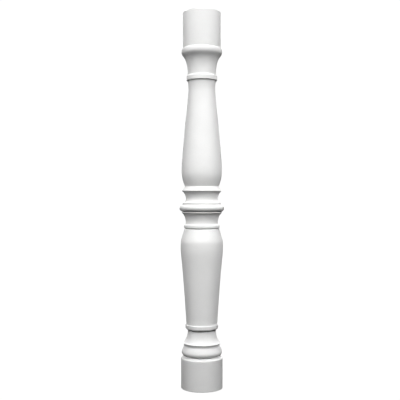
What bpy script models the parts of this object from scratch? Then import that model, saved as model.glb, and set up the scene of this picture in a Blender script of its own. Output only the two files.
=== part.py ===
"""Stone baluster: one piece of white stone, turned between a round foot block and a round head block.

Lengths are in metres and +Z is up. The origin is the middle of the underside. The outline is drawn
from the underside up, one moulding at a time, and a Screw modifier sweeps it round +Z.
"""
import math

import bpy

# Foot block, a plain drum whose top is weathered up to the torus
FOOT_BLOCK_RADIUS = 0.0500
FOOT_BLOCK_HEIGHT = 0.0737
FOOT_BLOCK_ARRIS_WIDTH = 0.0019
FOOT_BLOCK_ARRIS_HEIGHT = 0.0029
UNDERSIDE_ARRIS = 0.0005
FOOT_WASH_RADIUS = 0.0414
FOOT_WASH_HEIGHT = 0.0048

# Foot torus, whose crown slopes in to a thin fillet
FOOT_TORUS_RADIUS = 0.0486
FOOT_TORUS_LOWER_HEIGHT = 0.0081
FOOT_TORUS_CROWN_HEIGHT = 0.0144
FOOT_TORUS_CROWN_LEAN = -0.506
FOOT_TORUS_NOSE_REACH = 0.28
FOOT_TORUS_CROWN_REACH = 0.14
FOOT_FILLET_RADIUS = 0.0426
FOOT_FILLET_HEIGHT = 0.0010

# Foot lip, hollow below, and the cavetto that rises from it to the foot neck
FOOT_LIP_RADIUS = 0.0460
FOOT_LIP_HOLLOW_HEIGHT = 0.0063
FOOT_LIP_HOLLOW_LEAN = 1.87
FOOT_LIP_FILLET_REACH = 0.42
FOOT_LIP_HOLLOW_REACH = 0.15
FOOT_NECK_RADIUS = 0.0337
FOOT_NECK_HEIGHT = 0.0019
FOOT_CAVETTO_HEIGHT = 0.0306
FOOT_CAVETTO_LEAN = -1.37
FOOT_CAVETTO_LIP_REACH = 0.15
FOOT_CAVETTO_NECK_REACH = 0.53

# Lower ring, rounded below and sloped above
LOWER_RING_RADIUS = 0.0393
LOWER_RING_SOFFIT = 0.0003
LOWER_RING_ROUND_HEIGHT = 0.0041
LOWER_RING_FACE_HEIGHT = 0.0066
LOWER_RING_SLOPE_HEIGHT = 0.0025

# Lower vase, a long taper that swells to the belly and closes in a short shoulder
LOWER_VASE_FOOT_RADIUS = 0.0372
LOWER_VASE_TAPER = 0.0628
LOWER_VASE_FOOT_REACH = 0.93
LOWER_VASE_BELLY_REACH = 0.17
LOWER_VASE_BELLY_RADIUS = 0.0510
LOWER_VASE_BELLY_HEIGHT = 0.1868
SHOULDER_RADIUS = 0.0422
SHOULDER_HEIGHT = 0.0401
SHOULDER_LEAN = -0.29
SHOULDER_BELLY_REACH = 0.325
SHOULDER_TOP_REACH = 0.75
SHOULDER_QUIRK_RADIUS = 0.0402
SHOULDER_QUIRK_SLOPE = 0.0005
SHOULDER_QUIRK_HEIGHT = 0.0015

# Bead and lower scotia, with the fillet that carries the girdle
BEAD_RADIUS = 0.0431
BEAD_LOWER_HEIGHT = 0.0023
BEAD_FACE_HEIGHT = 0.0028
BEAD_UPPER_HEIGHT = 0.0042
BEAD_TOP_RADIUS = 0.0409
LOWER_SCOTIA_THROAT_RADIUS = 0.0390
LOWER_SCOTIA_LOWER_HEIGHT = 0.0064
LOWER_SCOTIA_UPPER_HEIGHT = 0.0209
LOWER_SCOTIA_LIP_RADIUS = 0.0471
LOWER_SCOTIA_LIP_LEAN = 0.94
LOWER_SCOTIA_THROAT_REACH = 0.47
LOWER_SCOTIA_LIP_REACH = 0.19
LOWER_FILLET_SOFFIT_HEIGHT = 0.0002
LOWER_FILLET_RADIUS = 0.0480
LOWER_FILLET_HEIGHT = 0.0036

# Girdle, the widest moulding, with a fillet above it
GIRDLE_RADIUS = 0.0538
GIRDLE_SEAT_RADIUS = 0.0457
GIRDLE_CROWN_RADIUS = 0.0460
GIRDLE_LOWER_HEIGHT = 0.0085
GIRDLE_UPPER_HEIGHT = 0.0068
UPPER_FILLET_RADIUS = 0.0463
UPPER_FILLET_HEIGHT = 0.0058

# Upper scotia, drip edge and the weathered slope above the edge
UPPER_SCOTIA_THROAT_RADIUS = 0.0384
UPPER_SCOTIA_LOWER_HEIGHT = 0.0095
UPPER_SCOTIA_UPPER_HEIGHT = 0.0176
UPPER_SCOTIA_LIP_RADIUS = 0.0462
UPPER_SCOTIA_LIP_LEAN = 1.33
UPPER_SCOTIA_THROAT_REACH = 0.36
UPPER_SCOTIA_LIP_REACH = 0.16
DRIP_EDGE_RADIUS = 0.0482
DRIP_EDGE_HEIGHT = 0.0012
WEATHERED_SLOPE_RADIUS = 0.0408
WEATHERED_SLOPE_HEIGHT = 0.0107

# Upper vase, a short belly and a long straight flare up to the neck
UPPER_VASE_LEAN = 0.375
UPPER_VASE_FOOT_REACH = 0.495
UPPER_VASE_BELLY_REACH = 0.325
UPPER_VASE_BELLY_RADIUS = 0.0486
UPPER_VASE_BELLY_HEIGHT = 0.0424
FLARE_BELLY_REACH = 0.14
FLARE_NECK_REACH = 0.05
UPPER_NECK_RADIUS = 0.0322
FLARE_HEIGHT = 0.1884
NECK_TOP_RADIUS = 0.0344
NECK_TOP_HEIGHT = 0.0223

# Upper ring, sloped above
UPPER_RING_SOFFIT_HEIGHT = 0.0010
UPPER_RING_RADIUS = 0.0367
UPPER_RING_FACE_HEIGHT = 0.0101
UPPER_RING_SLOPE_HEIGHT = 0.0029

# Bell under the head block
BELL_NECK_RADIUS = 0.0340
BELL_HEIGHT = 0.0551
BELL_NECK_REACH = 0.84
BELL_RIM_REACH = 0.22
BELL_RIM_RADIUS = 0.0490
BELL_TOP_RADIUS = 0.0447
BELL_TOP_HEIGHT = 0.0096

# Head block, a plain drum
HEAD_BLOCK_RADIUS = 0.0456
HEAD_BLOCK_HEIGHT = 0.0848
HEAD_BLOCK_ARRIS = 0.0008

# Fineness of the solid: facets round the axis, and steps along the curves of the outline
FACETS = 40
ARRIS_STEPS = 2
MOULDING_STEPS = 4
SWEEP_STEPS = 6
LONG_SWEEP_STEPS = 8
MERGE_DISTANCE = 0.00001
SHARP_ANGLE = math.radians(32)

STONE_COLOUR = (0.80, 0.80, 0.79, 1.0)
STONE_ROUGHNESS = 0.75


def straight(outline, radius, rise):
    """Draw a straight line to a radius, rising by a height."""
    outline.append((radius, outline[-1][1] + rise))


def quarter_round(outline, radius, rise, starts_level, steps):
    """Draw a quarter of an ellipse. It starts level and ends upright, or the other way round."""
    start_radius, start_height = outline[-1]
    for step in range(1, steps + 1):
        angle = math.pi / 2 * step / steps
        near, far = math.sin(angle), 1 - math.cos(angle)
        across, up = (near, far) if starts_level else (far, near)
        outline.append((start_radius + (radius - start_radius) * across, start_height + rise * up))


def sweep(outline, radius, rise, leans, reaches, steps):
    """Draw a cubic curve. A lean is the growth in radius per unit of height at an end, and a reach
    is how far the curve holds to that lean, as a share of its own height."""
    start_radius, start_height = outline[-1]
    lower_lean, upper_lean = leans
    lower_reach, upper_reach = (share * rise for share in reaches)
    controls = (
        (start_radius, start_height),
        (start_radius + lower_lean * lower_reach, start_height + lower_reach),
        (radius - upper_lean * upper_reach, start_height + rise - upper_reach),
        (radius, start_height + rise),
    )
    for step in range(1, steps + 1):
        t = step / steps
        weights = ((1 - t) ** 3, 3 * t * (1 - t) ** 2, 3 * t ** 2 * (1 - t), t ** 3)
        outline.append(tuple(
            sum(weight * control[axis] for weight, control in zip(weights, controls)) for axis in (0, 1)
        ))


def draw_foot_block(outline):
    straight(outline, FOOT_BLOCK_RADIUS - UNDERSIDE_ARRIS, 0)
    straight(outline, FOOT_BLOCK_RADIUS, UNDERSIDE_ARRIS)
    straight(outline, FOOT_BLOCK_RADIUS, FOOT_BLOCK_HEIGHT - UNDERSIDE_ARRIS - FOOT_BLOCK_ARRIS_HEIGHT)
    quarter_round(outline, FOOT_BLOCK_RADIUS - FOOT_BLOCK_ARRIS_WIDTH, FOOT_BLOCK_ARRIS_HEIGHT, False,
                  ARRIS_STEPS)
    straight(outline, FOOT_WASH_RADIUS, FOOT_WASH_HEIGHT)


def draw_foot_mouldings(outline):
    quarter_round(outline, FOOT_TORUS_RADIUS, FOOT_TORUS_LOWER_HEIGHT, True, MOULDING_STEPS)
    sweep(outline, FOOT_FILLET_RADIUS, FOOT_TORUS_CROWN_HEIGHT, (0, FOOT_TORUS_CROWN_LEAN),
          (FOOT_TORUS_NOSE_REACH, FOOT_TORUS_CROWN_REACH), MOULDING_STEPS)
    straight(outline, FOOT_FILLET_RADIUS, FOOT_FILLET_HEIGHT)
    sweep(outline, FOOT_LIP_RADIUS, FOOT_LIP_HOLLOW_HEIGHT, (0, FOOT_LIP_HOLLOW_LEAN),
          (FOOT_LIP_FILLET_REACH, FOOT_LIP_HOLLOW_REACH), ARRIS_STEPS)
    sweep(outline, FOOT_NECK_RADIUS, FOOT_CAVETTO_HEIGHT, (FOOT_CAVETTO_LEAN, 0),
          (FOOT_CAVETTO_LIP_REACH, FOOT_CAVETTO_NECK_REACH), SWEEP_STEPS)
    straight(outline, FOOT_NECK_RADIUS, FOOT_NECK_HEIGHT)
    straight(outline, FOOT_NECK_RADIUS + LOWER_RING_SOFFIT, 0)
    quarter_round(outline, LOWER_RING_RADIUS, LOWER_RING_ROUND_HEIGHT, True, MOULDING_STEPS)
    straight(outline, LOWER_RING_RADIUS, LOWER_RING_FACE_HEIGHT)


def draw_lower_vase(outline):
    straight(outline, LOWER_VASE_FOOT_RADIUS, LOWER_RING_SLOPE_HEIGHT)
    sweep(outline, LOWER_VASE_BELLY_RADIUS, LOWER_VASE_BELLY_HEIGHT, (LOWER_VASE_TAPER, 0),
          (LOWER_VASE_FOOT_REACH, LOWER_VASE_BELLY_REACH), LONG_SWEEP_STEPS)
    sweep(outline, SHOULDER_RADIUS, SHOULDER_HEIGHT, (0, SHOULDER_LEAN),
          (SHOULDER_BELLY_REACH, SHOULDER_TOP_REACH), SWEEP_STEPS)
    straight(outline, SHOULDER_QUIRK_RADIUS, SHOULDER_QUIRK_SLOPE)
    straight(outline, SHOULDER_QUIRK_RADIUS, SHOULDER_QUIRK_HEIGHT)


def draw_girdle(outline):
    quarter_round(outline, BEAD_RADIUS, BEAD_LOWER_HEIGHT, True, ARRIS_STEPS)
    straight(outline, BEAD_RADIUS, BEAD_FACE_HEIGHT)
    quarter_round(outline, BEAD_TOP_RADIUS, BEAD_UPPER_HEIGHT, False, MOULDING_STEPS)
    quarter_round(outline, LOWER_SCOTIA_THROAT_RADIUS, LOWER_SCOTIA_LOWER_HEIGHT, True, ARRIS_STEPS)
    sweep(outline, LOWER_SCOTIA_LIP_RADIUS, LOWER_SCOTIA_UPPER_HEIGHT, (0, LOWER_SCOTIA_LIP_LEAN),
          (LOWER_SCOTIA_THROAT_REACH, LOWER_SCOTIA_LIP_REACH), SWEEP_STEPS)
    straight(outline, LOWER_FILLET_RADIUS, LOWER_FILLET_SOFFIT_HEIGHT)
    straight(outline, LOWER_FILLET_RADIUS, LOWER_FILLET_HEIGHT)
    straight(outline, GIRDLE_SEAT_RADIUS, 0)
    quarter_round(outline, GIRDLE_RADIUS, GIRDLE_LOWER_HEIGHT, True, MOULDING_STEPS)
    quarter_round(outline, GIRDLE_CROWN_RADIUS, GIRDLE_UPPER_HEIGHT, False, MOULDING_STEPS)
    straight(outline, UPPER_FILLET_RADIUS, 0)
    straight(outline, UPPER_FILLET_RADIUS, UPPER_FILLET_HEIGHT)
    quarter_round(outline, UPPER_SCOTIA_THROAT_RADIUS, UPPER_SCOTIA_LOWER_HEIGHT, True, MOULDING_STEPS)
    sweep(outline, UPPER_SCOTIA_LIP_RADIUS, UPPER_SCOTIA_UPPER_HEIGHT, (0, UPPER_SCOTIA_LIP_LEAN),
          (UPPER_SCOTIA_THROAT_REACH, UPPER_SCOTIA_LIP_REACH), MOULDING_STEPS)
    straight(outline, DRIP_EDGE_RADIUS, DRIP_EDGE_HEIGHT)


def draw_upper_vase(outline):
    straight(outline, WEATHERED_SLOPE_RADIUS, WEATHERED_SLOPE_HEIGHT)
    sweep(outline, UPPER_VASE_BELLY_RADIUS, UPPER_VASE_BELLY_HEIGHT, (UPPER_VASE_LEAN, 0),
          (UPPER_VASE_FOOT_REACH, UPPER_VASE_BELLY_REACH), SWEEP_STEPS)
    sweep(outline, UPPER_NECK_RADIUS, FLARE_HEIGHT, (0, 0),
          (FLARE_BELLY_REACH, FLARE_NECK_REACH), LONG_SWEEP_STEPS)
    quarter_round(outline, NECK_TOP_RADIUS, NECK_TOP_HEIGHT, False, MOULDING_STEPS)
    straight(outline, UPPER_RING_RADIUS, UPPER_RING_SOFFIT_HEIGHT)
    straight(outline, UPPER_RING_RADIUS, UPPER_RING_FACE_HEIGHT)


def draw_head(outline):
    straight(outline, BELL_NECK_RADIUS, UPPER_RING_SLOPE_HEIGHT)
    sweep(outline, BELL_RIM_RADIUS, BELL_HEIGHT, (0, 0), (BELL_NECK_REACH, BELL_RIM_REACH), LONG_SWEEP_STEPS)
    quarter_round(outline, BELL_TOP_RADIUS, BELL_TOP_HEIGHT, False, MOULDING_STEPS)
    straight(outline, HEAD_BLOCK_RADIUS, 0)
    straight(outline, HEAD_BLOCK_RADIUS, HEAD_BLOCK_HEIGHT - HEAD_BLOCK_ARRIS)
    straight(outline, HEAD_BLOCK_RADIUS - HEAD_BLOCK_ARRIS, HEAD_BLOCK_ARRIS)
    straight(outline, 0, 0)


def baluster_outline():
    """Return (radius, height) points from the middle of the underside to the middle of the top."""
    outline = [(0.0, 0.0)]
    for draw in (draw_foot_block, draw_foot_mouldings, draw_lower_vase, draw_girdle, draw_upper_vase,
                 draw_head):
        draw(outline)
    return outline


def stone_material():
    """White stone, dressed fine and left matt."""
    material = bpy.data.materials.new("white_stone")
    material.use_nodes = True
    shader = material.node_tree.nodes["Principled BSDF"]
    shader.inputs["Base Color"].default_value = STONE_COLOUR
    shader.inputs["Roughness"].default_value = STONE_ROUGHNESS
    shader.inputs["Metallic"].default_value = 0.0
    return material


def turn_baluster(collection):
    """Turn the outline into the baluster. A Screw profile runs down its outer side, so it is reversed."""
    profile = [(radius, 0.0, height) for radius, height in reversed(baluster_outline())]
    mesh = bpy.data.meshes.new("baluster")
    mesh.from_pydata(profile, [(i, i + 1) for i in range(len(profile) - 1)], [])
    mesh.materials.append(stone_material())
    baluster = bpy.data.objects.new("baluster", mesh)
    collection.objects.link(baluster)

    screw = baluster.modifiers.new("Turning", "SCREW")
    screw.axis = "Z"
    screw.angle = 2 * math.pi
    screw.steps = FACETS
    screw.render_steps = FACETS
    screw.use_merge_vertices = True
    screw.merge_threshold = MERGE_DISTANCE

    bpy.context.view_layer.objects.active = baluster
    bpy.ops.object.modifier_apply(modifier=screw.name)
    baluster.data.shade_smooth()
    baluster.data.set_sharp_from_angle(angle=SHARP_ANGLE)
    return baluster


for leftover in list(bpy.data.objects):
    bpy.data.objects.remove(leftover, do_unlink=True)

stone_baluster = bpy.data.collections.new("stone_baluster")
bpy.context.scene.collection.children.link(stone_baluster)
turn_baluster(stone_baluster)
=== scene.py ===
import math

import bpy
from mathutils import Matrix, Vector


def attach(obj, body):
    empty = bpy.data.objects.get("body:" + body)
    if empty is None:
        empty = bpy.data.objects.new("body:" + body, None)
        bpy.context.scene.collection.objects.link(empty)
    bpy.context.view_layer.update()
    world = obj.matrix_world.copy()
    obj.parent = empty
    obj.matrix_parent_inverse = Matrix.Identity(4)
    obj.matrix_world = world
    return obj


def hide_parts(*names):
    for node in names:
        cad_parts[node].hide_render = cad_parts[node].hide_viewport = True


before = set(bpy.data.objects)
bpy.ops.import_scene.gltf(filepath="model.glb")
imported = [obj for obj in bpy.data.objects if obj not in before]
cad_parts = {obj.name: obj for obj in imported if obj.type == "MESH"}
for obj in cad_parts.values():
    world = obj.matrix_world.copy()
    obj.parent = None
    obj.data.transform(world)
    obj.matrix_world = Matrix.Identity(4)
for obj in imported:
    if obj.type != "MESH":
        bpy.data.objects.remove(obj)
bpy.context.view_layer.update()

# The baluster is one piece of fine white stone, turned on a lathe between a round foot block and a
# round head block, then rubbed smooth. It isn't fixed to anything: it stands on its flat underside.
# Its outline is a stack of mouldings, drawn from the underside up and turned once round +Z.

# How a moulding's line runs: how far its two handles pull, as shares of the moulding's own width
# and height, and in how many steps it is drawn. The steps of a face gather at its two ends.
QUARTER = 0.5523          # the pull that draws a quarter of an ellipse
STRAIGHT = ((1 / 3, 1 / 3), (1 / 3, 1 / 3), 1)
FACE = ((0, 0), (0, 0), 12)
SWELLS = ((QUARTER, 0), (0, QUARTER), 12)
CLOSES = ((0, QUARTER), (QUARTER, 0), 12)
ARRIS = ((0, QUARTER), (QUARTER, 0), 5)
TORUS_CROWN = ((0, 0.28), (0.17, 0.14), 16)
LIP_HOLLOW = ((0, 0.42), (0.52, 0.15), 8)
FOOT_CAVETTO = ((0.51, 0.15), (0, 0.53), 24)
LOWER_VASE = ((0.79, 0.93), (0, 0.17), 36)
SHOULDER = ((0, 0.325), (0.99, 0.75), 24)
LOWER_SCOTIA = ((0, 0.47), (0.46, 0.19), 18)
UPPER_SCOTIA = ((0, 0.36), (0.48, 0.16), 18)
UPPER_VASE = ((1.01, 0.495), (0, 0.325), 24)
FLARE = ((0, 0.14), (0, 0.05), 36)
BELL = ((0, 0.84), (0, 0.22), 30)

# Each moulding from the underside up: the radius where it ends and its rise, in metres
MOULDINGS = (
    ("Underside", 0.0495, 0, STRAIGHT),
    ("Underside arris", 0.0500, 0.0005, STRAIGHT),
    ("Foot block", 0.0500, 0.0703, FACE),
    ("Foot block arris", 0.0481, 0.0029, ARRIS),
    ("Foot wash", 0.0414, 0.0048, STRAIGHT),
    ("Foot torus below", 0.0486, 0.0081, SWELLS),
    ("Foot torus above", 0.0426, 0.0144, TORUS_CROWN),
    ("Foot fillet", 0.0426, 0.0010, STRAIGHT),
    ("Foot lip", 0.0460, 0.0063, LIP_HOLLOW),
    ("Foot cavetto", 0.0337, 0.0306, FOOT_CAVETTO),
    ("Foot neck", 0.0337, 0.0019, STRAIGHT),
    ("Lower ring soffit", 0.0340, 0, STRAIGHT),
    ("Lower ring round", 0.0393, 0.0041, SWELLS),
    ("Lower ring face", 0.0393, 0.0066, FACE),
    ("Lower ring slope", 0.0372, 0.0025, STRAIGHT),
    ("Lower vase", 0.0510, 0.1868, LOWER_VASE),
    ("Shoulder", 0.0422, 0.0401, SHOULDER),
    ("Shoulder quirk slope", 0.0402, 0.0005, STRAIGHT),
    ("Shoulder quirk", 0.0402, 0.0015, STRAIGHT),
    ("Bead below", 0.0431, 0.0023, SWELLS),
    ("Bead face", 0.0431, 0.0028, STRAIGHT),
    ("Bead above", 0.0409, 0.0042, CLOSES),
    ("Lower scotia throat", 0.0390, 0.0064, SWELLS),
    ("Lower scotia", 0.0471, 0.0209, LOWER_SCOTIA),
    ("Lower fillet soffit", 0.0480, 0.0002, STRAIGHT),
    ("Lower fillet", 0.0480, 0.0036, STRAIGHT),
    ("Girdle seat", 0.0457, 0, STRAIGHT),
    ("Girdle below", 0.0538, 0.0085, SWELLS),
    ("Girdle above", 0.0460, 0.0068, CLOSES),
    ("Upper fillet seat", 0.0463, 0, STRAIGHT),
    ("Upper fillet", 0.0463, 0.0058, STRAIGHT),
    ("Upper scotia throat", 0.0384, 0.0095, SWELLS),
    ("Upper scotia", 0.0462, 0.0176, UPPER_SCOTIA),
    ("Drip edge", 0.0482, 0.0012, STRAIGHT),
    ("Weathered slope", 0.0408, 0.0107, STRAIGHT),
    ("Upper vase", 0.0486, 0.0424, UPPER_VASE),
    ("Flare", 0.0322, 0.1884, FLARE),
    ("Neck top", 0.0344, 0.0223, CLOSES),
    ("Upper ring soffit", 0.0367, 0.0010, STRAIGHT),
    ("Upper ring face", 0.0367, 0.0101, STRAIGHT),
    ("Upper ring slope", 0.0340, 0.0029, STRAIGHT),
    ("Bell", 0.0490, 0.0551, BELL),
    ("Bell rim", 0.0447, 0.0096, CLOSES),
    ("Head block seat", 0.0456, 0, STRAIGHT),
    ("Head block", 0.0456, 0.0840, STRAIGHT),
    ("Head block arris", 0.0448, 0.0008, STRAIGHT),
    ("Top", 0, 0, STRAIGHT),
)

FACETS = 180
RUBBED_ARRIS_RADIUS = 0.0005
RUBBED_ARRIS_STEPS = 2
RUBBED_CORNER_TURN = math.radians(28)
LATHE_RADIUS = 0.1        # the circle that the outline is carried round, level with the underside
WELD_DISTANCE = 0.00002
SHARP_TURN = math.radians(14)


def add(tree, kind, inputs=None, **settings):
    """Add a node. Its inputs are given by name or place, each with a socket to link or a plain value."""
    made = tree.nodes.new(kind)
    for name, value in settings.items():
        setattr(made, name, value)
    for socket, value in (inputs or {}).items():
        if isinstance(value, bpy.types.NodeSocket):
            tree.links.new(value, made.inputs[socket])
        else:
            made.inputs[socket].default_value = value
    return made


def maths(tree, operation, *values):
    """Add a Math node and return its result."""
    return add(tree, "ShaderNodeMath", dict(enumerate(values)), operation=operation).outputs[0]


def vector_maths(tree, operation, *values, result=0):
    """Add a Vector Math node and return its result."""
    made = add(tree, "ShaderNodeVectorMath", dict(enumerate(values)), operation=operation)
    return made.outputs[result]


def new_tree(name, inputs, outputs):
    """Start a Geometry Nodes tree with named sockets, given as (name, kind of socket) pairs."""
    tree = bpy.data.node_groups.new(name, "GeometryNodeTree")
    for direction, sockets in (("INPUT", inputs), ("OUTPUT", outputs)):
        for label, kind in sockets:
            tree.interface.new_socket(label, in_out=direction, socket_type="NodeSocket" + kind)
    return tree, tree.nodes.new("NodeGroupInput").outputs, tree.nodes.new("NodeGroupOutput").inputs


def moulding_tree():
    """One moulding, as a line from where the last one ended. In the outline X is radius and Y height."""
    tree, given, result = new_tree(
        "Moulding",
        (("Start", "Vector"), ("Radius", "Float"), ("Rise", "Float"),
         ("Lower pull", "Vector"), ("Upper pull", "Vector"), ("Steps", "Int")),
        (("Line", "Geometry"), ("End", "Vector")),
    )
    start_height = add(tree, "ShaderNodeSeparateXYZ", {0: given["Start"]}).outputs["Y"]
    end_height = maths(tree, "ADD", start_height, given["Rise"])
    end = add(tree, "ShaderNodeCombineXYZ", {"X": given["Radius"], "Y": end_height}).outputs[0]
    span = vector_maths(tree, "SUBTRACT", end, given["Start"])
    lower_handle = vector_maths(tree, "MULTIPLY_ADD", span, given["Lower pull"], given["Start"])
    upper_pull = vector_maths(tree, "MULTIPLY", span, given["Upper pull"])
    upper_handle = vector_maths(tree, "SUBTRACT", end, upper_pull)
    line = add(tree, "GeometryNodeCurvePrimitiveBezierSegment", {
        "Resolution": given["Steps"], "Start": given["Start"], "Start Handle": lower_handle,
        "End Handle": upper_handle, "End": end,
    }, mode="POSITION")
    edges = add(tree, "GeometryNodeCurveToMesh", {"Curve": line.outputs[0]})
    tree.links.new(edges.outputs[0], result["Line"])
    tree.links.new(end, result["End"])
    return tree


def draw_outline(tree, given):
    """Chain the mouldings, each from the last one's end, and return them as one curve."""
    moulding = moulding_tree()
    stack = add(tree, "GeometryNodeJoinGeometry")
    start = None
    for name, _, _, (lower_pull, upper_pull, steps) in MOULDINGS:
        line = add(tree, "GeometryNodeGroup", node_tree=moulding)
        tree.links.new(given[name + " radius"], line.inputs["Radius"])
        tree.links.new(given[name + " rise"], line.inputs["Rise"])
        line.inputs["Lower pull"].default_value = (*lower_pull, 0)
        line.inputs["Upper pull"].default_value = (*upper_pull, 0)
        line.inputs["Steps"].default_value = steps
        if start:
            tree.links.new(start, line.inputs["Start"])
        start = line.outputs["End"]
        tree.links.new(line.outputs["Line"], stack.inputs[0])
    welded = add(tree, "GeometryNodeMergeByDistance", {
        "Geometry": stack.outputs[0], "Distance": given["Weld distance"],
    })
    return add(tree, "GeometryNodeMeshToCurve", {"Mesh": welded.outputs[0]}).outputs[0]


def rub_arrises(tree, outline, given):
    """Round the outline's sharp corners, which the mason rubs down, and leave its gentle bends."""
    here = add(tree, "GeometryNodeInputPosition").outputs[0]
    index = add(tree, "GeometryNodeInputIndex").outputs[0]
    next_to = [
        add(tree, "GeometryNodeFieldAtIndex", {"Index": maths(tree, "ADD", index, step), "Value": here},
            data_type="FLOAT_VECTOR", domain="POINT").outputs[0]
        for step in (-1, 1)
    ]
    arriving = vector_maths(tree, "NORMALIZE", vector_maths(tree, "SUBTRACT", here, next_to[0]))
    leaving = vector_maths(tree, "NORMALIZE", vector_maths(tree, "SUBTRACT", next_to[1], here))
    straightness = vector_maths(tree, "DOT_PRODUCT", arriving, leaving, result="Value")
    is_corner = maths(tree, "LESS_THAN", straightness, maths(tree, "COSINE", given["Corner turn"]))
    return add(tree, "GeometryNodeFilletCurve", {
        "Curve": outline, "Radius": maths(tree, "MULTIPLY", is_corner, given["Arris radius"]),
        "Count": given["Arris steps"], "Limit Radius": True,
    }, mode="POLY").outputs[0]


def turning_tree():
    """The whole baluster: its outline carried round the lathe circle, and welded shut at the axis."""
    sizes = [(f"{name} {size}", "Float") for name, *_ in MOULDINGS for size in ("radius", "rise")]
    tree, given, result = new_tree(
        "Turned baluster",
        [("Geometry", "Geometry"), *sizes, ("Arris radius", "Float"), ("Arris steps", "Int"),
         ("Corner turn", "Float"), ("Facets", "Int"), ("Lathe radius", "Float"),
         ("Weld distance", "Float"), ("Stone", "Material")],
        [("Geometry", "Geometry")],
    )
    outline = rub_arrises(tree, draw_outline(tree, given), given)
    circle = add(tree, "GeometryNodeCurvePrimitiveCircle", {
        "Resolution": given["Facets"], "Radius": given["Lathe radius"],
    }, mode="RADIUS")
    level = add(tree, "GeometryNodeSetCurveNormal", {"Curve": circle.outputs[0]}, mode="Z_UP")
    inward = maths(tree, "MULTIPLY", given["Lathe radius"], -1)
    from_circle = add(tree, "GeometryNodeTransform", {
        "Geometry": outline, "Scale": (1, -1, 1),
        "Translation": add(tree, "ShaderNodeCombineXYZ", {"X": inward}).outputs[0],
    })
    turned = add(tree, "GeometryNodeCurveToMesh", {
        "Curve": level.outputs[0], "Profile Curve": from_circle.outputs[0],
    })
    welded = add(tree, "GeometryNodeMergeByDistance", {
        "Geometry": turned.outputs[0], "Distance": given["Weld distance"],
    })
    real = add(tree, "GeometryNodeRealizeInstances", {"Geometry": welded.outputs[0]})
    dressed = add(tree, "GeometryNodeSetMaterial", {
        "Geometry": real.outputs[0], "Material": given["Stone"],
    })
    tree.links.new(dressed.outputs[0], result["Geometry"])
    return tree


STONE_PALE = (0.825, 0.825, 0.820, 1)
STONE_DEEP = (0.775, 0.775, 0.769, 1)
# The colour at a pore's floor is painted shade: the stone darkens into each pore as its hollow would
# fall into shade.
PAINTED_PORE_SHADE = (0.62, 0.62, 0.61, 1)
DEEP_TONE = 0.25              # where the deep colour stands between the painted shade at a pore's floor at 0 and the pale at 1
MOTTLE_LOW, MOTTLE_HIGH = 0.7, 1.3    # the sums of clouds and grain that are deepest and palest
CLOUD_WIDTH = 0.055
CLOUD_DETAIL = 3
GRAIN_WIDTH = 0.0011
GRAIN_DETAIL = 2
GRAIN_DEPTH = 0.000035
PORE_SPACING = 0.0042
PORE_FLOOR, PORE_RIM = 0.07, 0.13     # radii, as shares of the spacing
PORE_SHARE = 0.22             # of the places that could hold one
PORE_DEPTH = 0.00015
TURNING_MARK_SPACING = 0.0016
TURNING_MARK_DETAIL = 1
TURNING_MARK_DEPTH = 0.00002
SMOOTHEST, ROUGHEST = 0.64, 0.78
SPECULAR_LEVEL = 0.35


def white_stone():
    """Fine white stone: faint clouds, a sandy grain, a few open pores with painted shade in them, and
    the lathe's last rings.
    """
    material = bpy.data.materials.new("white_stone")
    material.use_nodes = True
    tree = material.node_tree
    shader = tree.nodes["Principled BSDF"]
    shader.inputs["Specular IOR Level"].default_value = SPECULAR_LEVEL
    place = add(tree, "ShaderNodeTexCoord").outputs["Object"]
    height = add(tree, "ShaderNodeSeparateXYZ", {0: place}).outputs["Z"]

    clouds = add(tree, "ShaderNodeTexNoise", {
        "Vector": place, "Scale": 1 / CLOUD_WIDTH, "Detail": CLOUD_DETAIL,
    }).outputs[0]
    grain = add(tree, "ShaderNodeTexNoise", {
        "Vector": place, "Scale": 1 / GRAIN_WIDTH, "Detail": GRAIN_DETAIL,
    }).outputs[0]
    marks = add(tree, "ShaderNodeTexNoise", {
        "W": height, "Scale": 1 / TURNING_MARK_SPACING, "Detail": TURNING_MARK_DETAIL,
    }, noise_dimensions="1D").outputs[0]
    places = add(tree, "ShaderNodeTexVoronoi", {"Vector": place, "Scale": 1 / PORE_SPACING})
    bowl = add(tree, "ShaderNodeMapRange", {
        "Value": places.outputs["Distance"], "From Min": PORE_FLOOR, "From Max": PORE_RIM,
        "To Min": 1, "To Max": 0,
    }, interpolation_type="SMOOTHSTEP").outputs[0]
    lot = add(tree, "ShaderNodeSeparateColor", {0: places.outputs["Color"]}).outputs[0]
    pore = maths(tree, "MULTIPLY", bowl, maths(tree, "LESS_THAN", lot, PORE_SHARE))

    mottle = maths(tree, "ADD", clouds, grain)
    tone = add(tree, "ShaderNodeMapRange", {
        "Value": mottle, "From Min": MOTTLE_LOW, "From Max": MOTTLE_HIGH,
        "To Min": DEEP_TONE, "To Max": 1,
    }).outputs[0]
    # The pores darken towards their floors: painted shade, laid over their bumped hollows.
    colour = add(tree, "ShaderNodeValToRGB", {
        0: maths(tree, "MULTIPLY", tone, maths(tree, "SUBTRACT", 1, pore)),
    })
    stops = colour.color_ramp.elements
    stops[0].color = PAINTED_PORE_SHADE
    stops[1].color = STONE_PALE
    stops.new(DEEP_TONE).color = STONE_DEEP
    tree.links.new(colour.outputs[0], shader.inputs["Base Color"])

    rough = add(tree, "ShaderNodeMapRange", {
        "Value": mottle, "From Min": MOTTLE_LOW, "From Max": MOTTLE_HIGH,
        "To Min": ROUGHEST, "To Max": SMOOTHEST,
    })
    tree.links.new(rough.outputs[0], shader.inputs["Roughness"])

    relief = maths(tree, "MULTIPLY", grain, GRAIN_DEPTH)
    relief = maths(tree, "MULTIPLY_ADD", marks, TURNING_MARK_DEPTH, relief)
    relief = maths(tree, "MULTIPLY_ADD", pore, -PORE_DEPTH, relief)
    bump = add(tree, "ShaderNodeBump", {"Height": relief, "Distance": 1})
    tree.links.new(bump.outputs[0], shader.inputs["Normal"])
    return material


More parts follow.
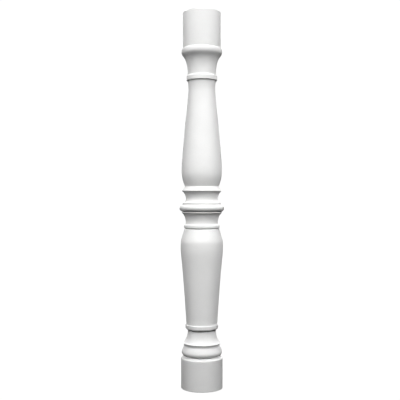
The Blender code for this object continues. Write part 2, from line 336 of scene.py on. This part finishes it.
turning = bpy.data.objects.new("turning", bpy.data.meshes.new("turning"))
bpy.context.scene.collection.objects.link(turning)
lathe = turning.modifiers.new("Lathe", "NODES")
lathe.node_group = turning_tree()
sizes = {
    "Arris radius": RUBBED_ARRIS_RADIUS, "Arris steps": RUBBED_ARRIS_STEPS,
    "Corner turn": RUBBED_CORNER_TURN, "Facets": FACETS, "Lathe radius": LATHE_RADIUS,
    "Weld distance": WELD_DISTANCE, "Stone": white_stone(),
}
for name, radius, rise, _ in MOULDINGS:
    sizes[name + " radius"] = float(radius)
    sizes[name + " rise"] = float(rise)
for socket in lathe.node_group.interface.items_tree:
    if socket.name in sizes:
        lathe[socket.identifier] = sizes[socket.name]

evaluated = turning.evaluated_get(bpy.context.evaluated_depsgraph_get())
turned_mesh = bpy.data.meshes.new_from_object(evaluated)
turned_mesh.name = "stone_baluster"
turned_mesh.shade_smooth()
turned_mesh.set_sharp_from_angle(angle=SHARP_TURN)
bpy.data.objects.remove(turning)
baluster = bpy.data.objects.new("stone_baluster", turned_mesh)
bpy.context.scene.collection.objects.link(baluster)
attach(baluster, "root")
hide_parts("baluster")

# The studio is one white sweep of floor, round cove and wall, all round the piece. It shines evenly,
# just past white, so it is as blank as in the photograph: it shows no shadow and lights nothing.
STUDIO_FLOOR_RADIUS = 4.0
STUDIO_COVE_RADIUS = 1.5
STUDIO_WALL_TOP = 7.0
STUDIO_STEPS = 96
COVE_STEPS = 12
STUDIO_GLOW = 1.05


def studio_sweep():
    """Turn the floor, cove and wall in one outline round +Z, with the inner faces towards the piece."""
    outline = [(0, 0, 0)]
    for step in range(COVE_STEPS + 1):
        turn = math.pi / 2 * step / COVE_STEPS
        outline.append((STUDIO_FLOOR_RADIUS + STUDIO_COVE_RADIUS * math.sin(turn), 0,
                        STUDIO_COVE_RADIUS * (1 - math.cos(turn))))
    outline.append((STUDIO_FLOOR_RADIUS + STUDIO_COVE_RADIUS, 0, STUDIO_WALL_TOP))
    mesh = bpy.data.meshes.new("studio")
    mesh.from_pydata(outline, [(step, step + 1) for step in range(len(outline) - 1)], [])
    studio = bpy.data.objects.new("studio", mesh)
    bpy.context.scene.collection.objects.link(studio)
    sweep = studio.modifiers.new("Sweep", "SCREW")
    sweep.steps = STUDIO_STEPS
    sweep.render_steps = STUDIO_STEPS
    return studio


def studio_white():
    """A white that shines by itself and takes no light from the lamps."""
    material = bpy.data.materials.new("studio_white")
    material.use_nodes = True
    shader = material.node_tree.nodes["Principled BSDF"]
    shader.inputs["Base Color"].default_value = (0, 0, 0, 1)
    shader.inputs["Specular IOR Level"].default_value = 0
    shader.inputs["Emission Color"].default_value = (1, 1, 1, 1)
    shader.inputs["Emission Strength"].default_value = STUDIO_GLOW
    return material


studio = studio_sweep()
studio.data.materials.append(studio_white())
studio.visible_diffuse = False
studio.visible_glossy = False

# The light is soft and from above: a gridded pair of soft boxes in front, aimed a little low, and two
# open pairs overhead, so the sides and undersides fall to grey. A gridded pair behind lights the far
# side. Each box is its place, the height on the axis that it faces, its spread in degrees and its watts.
SOFT_BOXES = (
    ("front_left", (-1.4, -1.9, 2.2), 0.42, 40, 3.4),
    ("front_right", (1.4, -1.9, 2.2), 0.42, 40, 3.8),
    ("overhead_left", (-1.4, -0.3, 2.4), 0.5, 180, 10.5),
    ("overhead_right", (1.4, -0.3, 2.4), 0.5, 180, 11.0),
    ("top_left", (-1.0, -0.8, 2.8), 0.5, 180, 4.7),
    ("top_right", (1.0, -0.8, 2.8), 0.5, 180, 4.4),
    ("back_left", (-0.6, 2.2, 2.2), 0.5, 40, 3.0),
    ("back_right", (0.6, 2.2, 2.2), 0.5, 40, 3.0),
)
SOFT_BOX_WIDTH = 0.8

for name, place, lit_height, spread, watts in SOFT_BOXES:
    lamp = bpy.data.lights.new(name, "AREA")
    lamp.shape = "SQUARE"
    lamp.size = SOFT_BOX_WIDTH
    lamp.spread = math.radians(spread)
    lamp.energy = watts
    box = bpy.data.objects.new(name, lamp)
    box.location = place
    towards = Vector((0, 0, lit_height)) - box.location
    box.rotation_euler = towards.to_track_quat("-Z", "Y").to_euler()
    box.visible_camera = False
    bpy.context.scene.collection.objects.link(box)

world = bpy.data.worlds.new("dark")
world.use_nodes = True
world.node_tree.nodes["Background"].inputs["Strength"].default_value = 0
bpy.context.scene.world = world

# The camera stands level with the middle of the piece, and a hair to its left, as in the photograph.
CAMERA_DISTANCE = 1.69
CAMERA_HEIGHT = 0.458
CAMERA_SIDE = -0.0044
CAMERA_DIP = math.radians(0.242)
PHOTO_WIDTH = 400
FOCAL_LENGTH_IN_PIXELS = 702.4

lens = bpy.data.cameras.new("camera")
lens.lens = lens.sensor_width * FOCAL_LENGTH_IN_PIXELS / PHOTO_WIDTH
camera = bpy.data.objects.new("camera", lens)
camera.location = (CAMERA_SIDE, -CAMERA_DISTANCE, CAMERA_HEIGHT)
camera.rotation_euler = (math.pi / 2 - CAMERA_DIP, 0, 0)
bpy.context.scene.collection.objects.link(camera)
bpy.context.scene.camera = camera
bpy.context.scene.view_settings.view_transform = "Standard"
